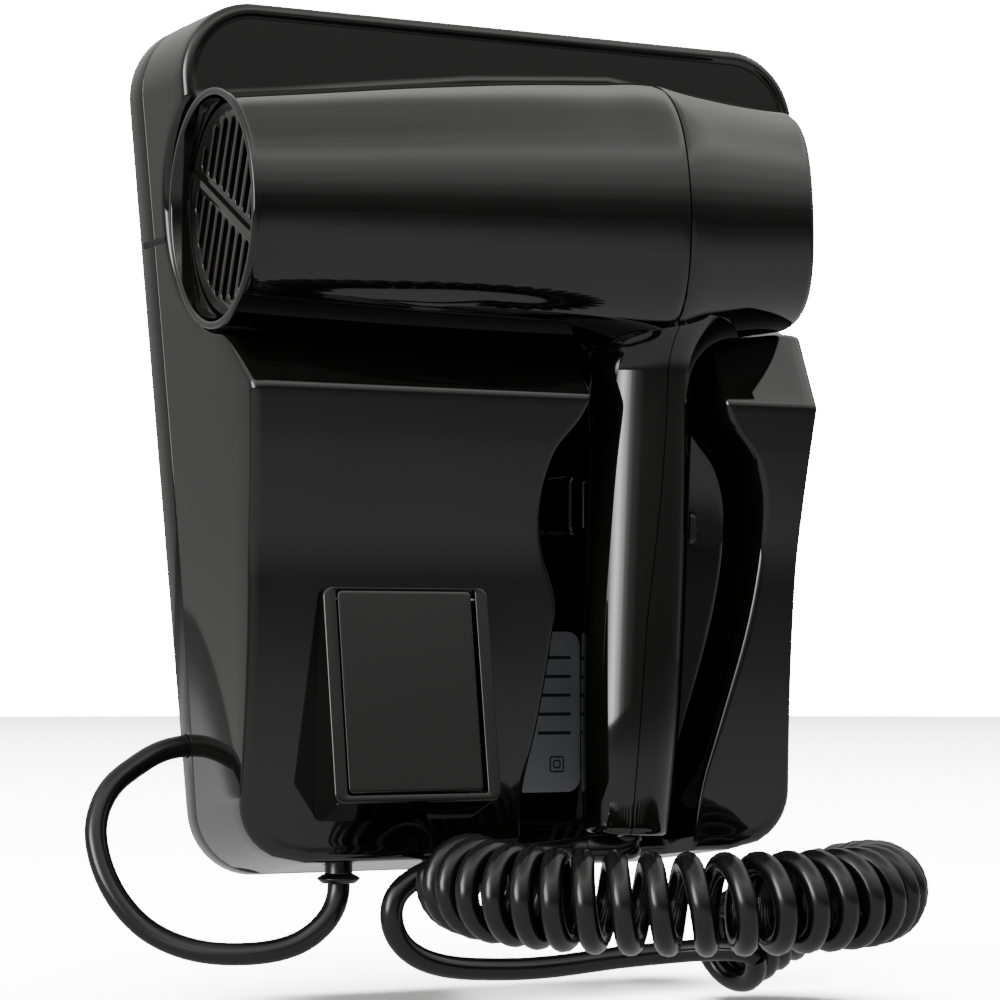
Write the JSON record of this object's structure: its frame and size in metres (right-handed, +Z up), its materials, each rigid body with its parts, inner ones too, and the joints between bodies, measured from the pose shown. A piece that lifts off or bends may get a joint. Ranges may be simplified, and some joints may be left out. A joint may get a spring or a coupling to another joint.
{
  "type": "wall-mounted hair dryer holder",
  "caption": "Wall-mounted holder with a hair dryer resting across its cradle, a flap-covered shaver socket, a fixed supply cord and a coiled cord to the dryer.",
  "frame": {"origin": "middle of the back plate's flat wall face", "axes": "+Z up, +X to the right as seen from the front, -Y out of the wall towards the user"},
  "size_m": [0.2103, 0.1449, 0.2706],
  "materials": {
    "gloss_black": "high-gloss injection-moulded black",
    "satin_black": "satin moulded black",
    "black_pvc": "smooth flexible PVC",
    "steel": "zinc plated or drawn",
    "brass": "stamped",
    "phenolic_brown": "moulded thermoset",
    "mica": "pressed mica sheet",
    "label_grey": "satin film, printed"
  },
  "bodies": {
    "holder": {"back_plate": "gloss_black", "front_cover": "gloss_black", "socket_housing": "gloss_black", "lid_hinge_pin": "steel", "lid_spring": "steel", "socket_insert": "satin_black", "socket_contact_left": "brass", "socket_contact_right": "brass", "terminal_block": "phenolic_brown", "rest_switch_body": "phenolic_brown", "rest_switch_spring": "steel", "rating_label": "label_grey", "supply_grommet": "black_pvc", "curly_grommet": "black_pvc", "supply_clamp_bar": "phenolic_brown", "supply_clamp_screw_1": "steel", "supply_clamp_screw_2": "steel", "curly_clamp_bar": "phenolic_brown", "curly_clamp_screw_1": "steel", "curly_clamp_screw_2": "steel", "cover_screw_1": "steel", "cover_screw_2": "steel", "cover_screw_3": "steel", "cover_screw_4": "steel", "supply_cord": "black_pvc", "curly_cord": "black_pvc", "curly_cord_handle_tail": "black_pvc", "curly_cord_base_tail": "black_pvc"},
    "lid": {"socket_lid": "gloss_black"},
    "plunger": {"rest_switch_plunger": "gloss_black"},
    "dryer": {"dryer_front_shell": "gloss_black", "dryer_rear_shell": "gloss_black", "dryer_outlet_grille": "satin_black", "dryer_mica_tube": "mica", "dryer_heater_frame": "mica", "dryer_heater_coil_1": "steel", "dryer_heater_coil_2": "steel", "dryer_heater_coil_3": "steel", "dryer_heater_coil_4": "steel", "dryer_heater_coil_5": "steel", "dryer_heater_coil_6": "steel", "dryer_thermostat": "phenolic_brown", "dryer_motor": "steel", "dryer_motor_mount": "satin_black", "dryer_air_screen": "steel", "dryer_switch_body": "phenolic_brown", "dryer_strain_relief": "black_pvc"},
    "fan": {"dryer_fan_rotor": "satin_black"},
    "slider": {"dryer_switch_slider": "satin_black"}
  },
  "joints": [
    {"name": "dryer_lift", "type": "slide", "parent": "holder", "child": "dryer", "axis": [0, -0.9702, 0.2425], "range_m": [0, 0.1]},
    {"name": "socket_lid_hinge", "type": "hinge", "parent": "holder", "child": "lid", "pos_m": [-0.0398, -0.06114, -0.0428], "axis": [-1, 0, 0], "range_deg": [0, 90], "stiffness_Nm_per_rad": 0.004, "springref_deg": -22.92},
    {"name": "rest_switch_press", "type": "slide", "parent": "holder", "child": "plunger", "axis": [0, 1, 0], "range_m": [0, 0.003], "stiffness_N_per_m": 300, "springref_m": -0.003, "deforming": ["rest_switch_spring"]},
    {"name": "fan_spin", "type": "hinge", "parent": "dryer", "child": "fan", "pos_m": [0.039, -0.054, 0.0657], "axis": [0.9992, 0, 0.04], "continuous": true},
    {"name": "power_slider", "type": "slide", "parent": "dryer", "child": "slider", "axis": [0.0448, 0, 0.999], "range_m": [-0.004, 0.004]}
  ]
}
